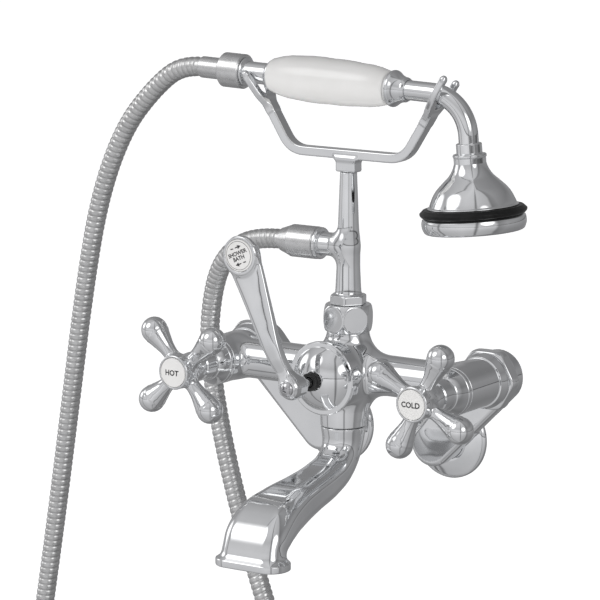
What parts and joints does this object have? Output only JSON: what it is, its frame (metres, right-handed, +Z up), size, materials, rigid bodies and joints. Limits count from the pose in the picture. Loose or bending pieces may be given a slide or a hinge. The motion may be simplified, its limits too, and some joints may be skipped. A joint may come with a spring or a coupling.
{
  "type": "wall mounted bath faucet with hand shower",
  "caption": "Exposed wall mounted bath faucet with cross handles, swing arms, lever diverter, downturned spout, and a cradled telephone hand shower on a metal hose.",
  "frame": {"origin": "on the wall plane, midway between the hot and cold wall inlets", "axes": "+X to the cold side, +Y into the wall, +Z up"},
  "size_m": [0.4003, 0.1793, 0.7101],
  "materials": {
    "chrome": "polished",
    "satin_chrome": "satin",
    "hose_steel": "satin",
    "porcelain": "glazed",
    "black_rubber": "semi-gloss",
    "seal_rubber": "matte",
    "fibre_washer": "matte",
    "alumina": "polished",
    "brass": "machined",
    "valve_plastic": "moulded",
    "screw_steel": "machined"
  },
  "bodies": {
    "faucet_body": {"body_casting": "chrome", "cold_bonnet": "chrome", "cold_cartridge": "brass", "cold_fixed_disc": "alumina", "cold_seat_seal": "seal_rubber", "cold_union_nut": "chrome", "cold_union_washer": "fibre_washer", "cradle_stud": "brass", "diverter_bonnet": "chrome", "diverter_sleeve": "brass", "handset_cradle": "chrome", "hot_bonnet": "chrome", "hot_cartridge": "brass", "hot_fixed_disc": "alumina", "hot_seat_seal": "seal_rubber", "hot_union_nut": "chrome", "hot_union_washer": "fibre_washer", "outlet_check_valve": "valve_plastic", "outlet_hose_nut": "satin_chrome", "outlet_hose_washer": "fibre_washer", "riser_tube": "chrome", "riser_union_nut": "chrome", "riser_union_washer": "fibre_washer", "shower_hose": "hose_steel", "spout": "chrome", "spout_oring": "seal_rubber"},
    "hot_arm": {"hot_swing_arm": "chrome", "hot_wall_flange": "chrome", "hot_flange_oring": "seal_rubber"},
    "cold_arm": {"cold_swing_arm": "chrome", "cold_wall_flange": "chrome", "cold_flange_oring": "seal_rubber"},
    "hot_handle": {"hot_cross_handle": "chrome", "hot_stem": "brass", "hot_turning_disc": "alumina", "hot_handle_screw": "screw_steel", "hot_index_button": "porcelain"},
    "cold_handle": {"cold_cross_handle": "chrome", "cold_stem": "brass", "cold_turning_disc": "alumina", "cold_handle_screw": "screw_steel", "cold_index_button": "porcelain"},
    "diverter": {"diverter_spindle": "chrome", "diverter_spindle_orings": "seal_rubber", "diverter_rotor": "brass", "diverter_lever": "chrome", "diverter_lever_screw": "screw_steel", "diverter_label_button": "porcelain"},
    "handset": {"handset_inlet_fitting": "chrome", "handset_grip": "porcelain", "handset_ferrule": "chrome", "handset_neck_tube": "chrome", "shower_head_bell": "chrome", "shower_gasket": "fibre_washer", "shower_rubber_ring": "black_rubber", "shower_face_plate": "chrome", "handset_hose_nut": "satin_chrome", "handset_hose_washer": "fibre_washer", "handset_hose_sleeve": "satin_chrome"}
  },
  "joints": [
    {"name": "hot_handle_turn", "type": "hinge", "parent": "faucet_body", "child": "hot_handle", "pos_m": [-0.089, -0.1, 0.049], "axis": [0, 1, 0], "range_deg": [-90, 0]},
    {"name": "cold_handle_turn", "type": "hinge", "parent": "faucet_body", "child": "cold_handle", "pos_m": [0.089, -0.1, 0.049], "axis": [0, 1, 0], "range_deg": [0, 90]},
    {"name": "diverter_turn", "type": "hinge", "parent": "faucet_body", "child": "diverter", "pos_m": [0, -0.1, 0.049], "axis": [0, 1, 0], "range_deg": [0, 47]},
    {"name": "hot_arm_swing", "type": "hinge", "parent": "faucet_body", "child": "hot_arm", "pos_m": [-0.089, -0.03, 0.049], "axis": [0, 1, 0], "range_deg": [-15, 120]},
    {"name": "cold_arm_swing", "type": "hinge", "parent": "faucet_body", "child": "cold_arm", "pos_m": [0.089, -0.03, 0.049], "axis": [0, 1, 0], "range_deg": [-120, 15]},
    {"name": "handset_lift", "type": "slide", "parent": "faucet_body", "child": "handset", "axis": [0, 0, 1], "range_m": [0, 0.035], "deforming": ["shower_hose"]}
  ]
}
